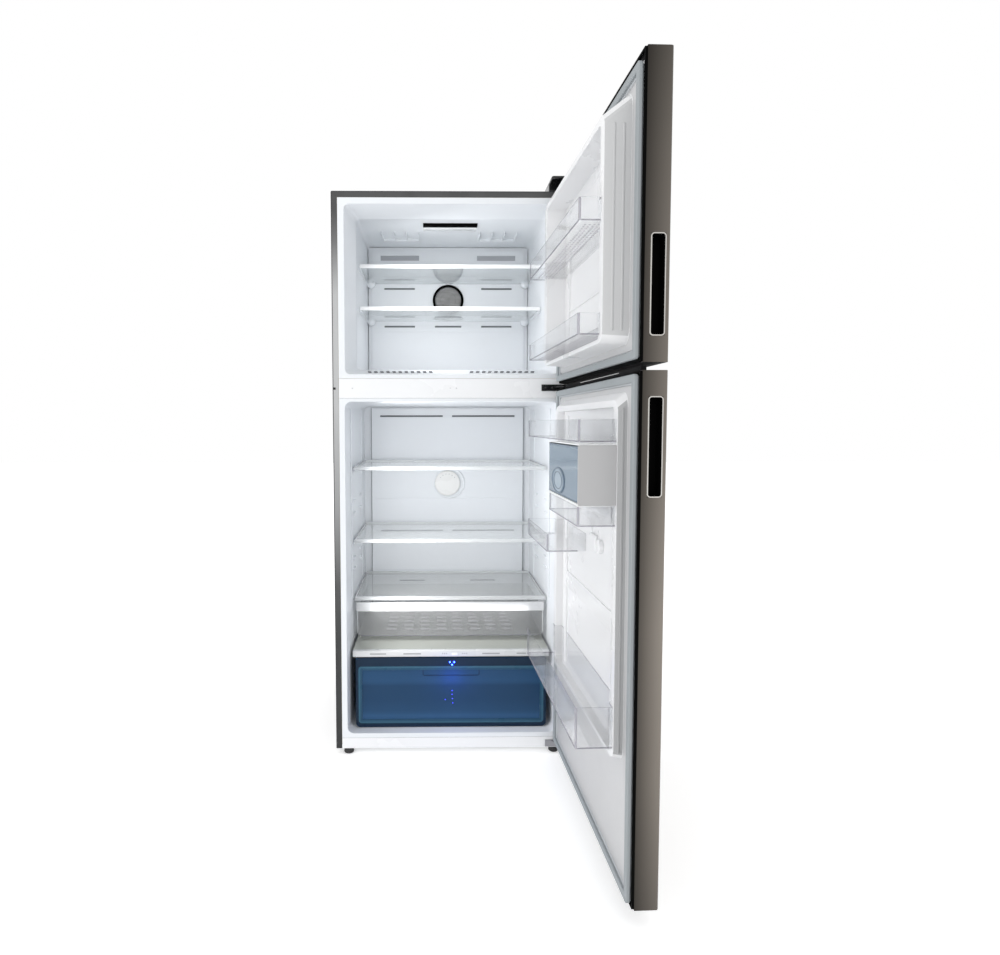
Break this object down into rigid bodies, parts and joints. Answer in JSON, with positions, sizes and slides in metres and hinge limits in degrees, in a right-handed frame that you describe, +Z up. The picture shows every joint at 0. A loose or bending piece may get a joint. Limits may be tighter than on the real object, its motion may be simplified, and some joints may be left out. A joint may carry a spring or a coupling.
{
  "type": "top freezer refrigerator",
  "caption": "Two-door top freezer refrigerator with hinged doors, glass shelves, sliding tray and crisper, door bins, lidded chill box, fan and compressor.",
  "frame": {"origin": "on the floor under the middle of the whole object's box, doors standing open", "axes": "+Z up, -Y out of the doorway towards the user, +X towards the hinge side"},
  "size_m": [0.7374, 1.3472, 1.705],
  "materials": {
    "case_grey": "satin",
    "stainless": "satin",
    "galvanised": "satin",
    "white_plastic": "satin",
    "white_steel": "gloss",
    "black_plastic": "satin",
    "seal_grey": "matte",
    "foam": "matte",
    "clear_plastic": "gloss",
    "shelf_glass": "gloss",
    "blue_tint": "gloss",
    "crisper_blue": "gloss",
    "box_grey": "satin",
    "cap_steel": "satin",
    "fin_aluminium": "satin",
    "compressor_black": "satin",
    "zinc_steel": "satin",
    "foot_rubber": "matte",
    "copper_pipe": "satin"
  },
  "bodies": {
    "cabinet": {"outer_case": "case_grey", "back_panel": "galvanised", "compressor_bay_cover": "galvanised", "base_pan": "galvanised", "bottom_rail": "white_steel", "mullion_cover": "white_steel", "freezer_liner": "white_plastic", "fridge_liner": "white_plastic", "cabinet_foam": "foam", "top_hinge": "zinc_steel", "top_hinge_cover": "black_plastic", "middle_hinge": "zinc_steel", "bottom_hinge": "zinc_steel", "compressor": "compressor_black", "refrigerant_pipe": "copper_pipe", "freezer_back_cover": "white_plastic", "fan_cap": "cap_steel", "fan_motor": "zinc_steel", "evaporator": "fin_aluminium", "freezer_lamp": "black_plastic", "fridge_air_duct": "white_plastic", "crisper_lid_frame": "white_plastic", "crisper_lid_glass": "shelf_glass", "freezer_shelf_upper": "clear_plastic", "freezer_shelf_lower": "clear_plastic", "fridge_shelf_top_frame": "white_plastic", "fridge_shelf_top_glass": "shelf_glass", "fridge_shelf_middle_frame": "white_plastic", "fridge_shelf_middle_glass": "shelf_glass", "fridge_shelf_lower_frame": "white_plastic", "fridge_shelf_lower_glass": "shelf_glass"},
    "freezer_door": {"freezer_door_skin": "stainless", "freezer_door_top_cap": "black_plastic", "freezer_door_bottom_cap": "black_plastic", "freezer_door_liner": "white_plastic", "freezer_door_gasket": "seal_grey", "freezer_door_handle_pocket": "black_plastic", "freezer_door_bin_upper": "clear_plastic", "freezer_door_bin_lower": "clear_plastic"},
    "fridge_door": {"fridge_door_skin": "stainless", "fridge_door_top_cap": "black_plastic", "fridge_door_bottom_cap": "black_plastic", "fridge_door_liner": "white_plastic", "fridge_door_gasket": "seal_grey", "fridge_door_handle_pocket": "black_plastic", "door_bin_top": "clear_plastic", "door_bin_under_box": "clear_plastic", "door_bin_half": "clear_plastic", "door_bin_bottom": "clear_plastic", "chill_box": "box_grey"},
    "crisper": {"crisper_drawer": "crisper_blue"},
    "chiller_tray": {"chiller_tray": "clear_plastic"},
    "humidity_slider": {"humidity_slider": "white_plastic"},
    "filter_cap": {"filter_cap": "white_plastic"},
    "fan": {"fan_blade": "white_plastic"},
    "chill_box_lid": {"chill_box_lid": "blue_tint"},
    "front_foot_left": {"front_foot_left": "foot_rubber"},
    "front_foot_right": {"front_foot_right": "foot_rubber"},
    "rear_roller_left": {"rear_roller_left": "foot_rubber"},
    "rear_roller_right": {"rear_roller_right": "foot_rubber"}
  },
  "joints": [
    {"name": "freezer_door_hinge", "type": "hinge", "parent": "cabinet", "child": "freezer_door", "pos_m": [0.31733, 0.0126, 1.4], "axis": [0, 0, 1], "range_deg": [-91.6, 35]},
    {"name": "fridge_door_hinge", "type": "hinge", "parent": "cabinet", "child": "fridge_door", "pos_m": [0.31733, 0.0126, 0.57], "axis": [0, 0, 1], "range_deg": [-91.6, 35]},
    {"name": "crisper_slide", "type": "slide", "parent": "cabinet", "child": "crisper", "axis": [0, -1, 0], "range_m": [0, 0.3]},
    {"name": "chiller_tray_slide", "type": "slide", "parent": "cabinet", "child": "chiller_tray", "axis": [0, -1, 0], "range_m": [0, 0.2]},
    {"name": "humidity_slide", "type": "slide", "parent": "cabinet", "child": "humidity_slider", "axis": [1, 0, 0], "range_m": [-0.043, 0.021]},
    {"name": "filter_cap_turn", "type": "hinge", "parent": "cabinet", "child": "filter_cap", "pos_m": [-0.01867, 0.5346, 0.782], "axis": [0, 1, 0], "range_deg": [0, 45]},
    {"name": "fan_spin", "type": "hinge", "parent": "cabinet", "child": "fan", "pos_m": [-0.01867, 0.4566, 1.434], "axis": [0, 1, 0], "continuous": true},
    {"name": "chill_box_lid_hinge", "type": "hinge", "parent": "fridge_door", "child": "chill_box_lid", "pos_m": [0.21282, -0.472, 0.9535], "axis": [-0.0279, 0.9996, 0], "range_deg": [0, 80]},
    {"name": "front_foot_left_turn", "type": "hinge", "parent": "cabinet", "child": "front_foot_left", "pos_m": [-0.33167, 0.0606, 0.008], "axis": [0, 0, 1], "continuous": true},
    {"name": "rear_roller_left_spin", "type": "hinge", "parent": "cabinet", "child": "rear_roller_left", "pos_m": [-0.30867, 0.6296, 0.014], "axis": [1, 0, 0], "continuous": true},
    {"name": "front_foot_right_turn", "type": "hinge", "parent": "cabinet", "child": "front_foot_right", "pos_m": [0.29433, 0.0606, 0.008], "axis": [0, 0, 1], "continuous": true},
    {"name": "rear_roller_right_spin", "type": "hinge", "parent": "cabinet", "child": "rear_roller_right", "pos_m": [0.27133, 0.6296, 0.014], "axis": [1, 0, 0], "continuous": true}
  ]
}
